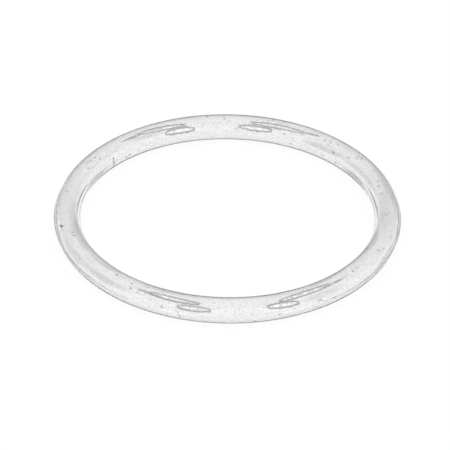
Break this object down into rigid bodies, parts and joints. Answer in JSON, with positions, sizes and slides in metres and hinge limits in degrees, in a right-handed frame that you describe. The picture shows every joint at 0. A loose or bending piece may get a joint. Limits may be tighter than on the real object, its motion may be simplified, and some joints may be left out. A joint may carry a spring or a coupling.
{
  "type": "filter seal ring",
  "caption": "Round-section rubber seal ring for a filter housing, moulded in one piece, with a fine parting line around its inner and outer sides.",
  "frame": {"origin": "centre of the ring, half way up its round section", "axes": "+Z along the ring's axis, which is its symmetry axis and its shortest extent; X and Y lie in the plane of the parting line"},
  "size_m": [0.048, 0.048, 0.0036],
  "materials": {
    "seal_rubber": "gloss"
  },
  "bodies": {
    "root": {"seal_ring": "seal_rubber"}
  },
  "joints": []
}
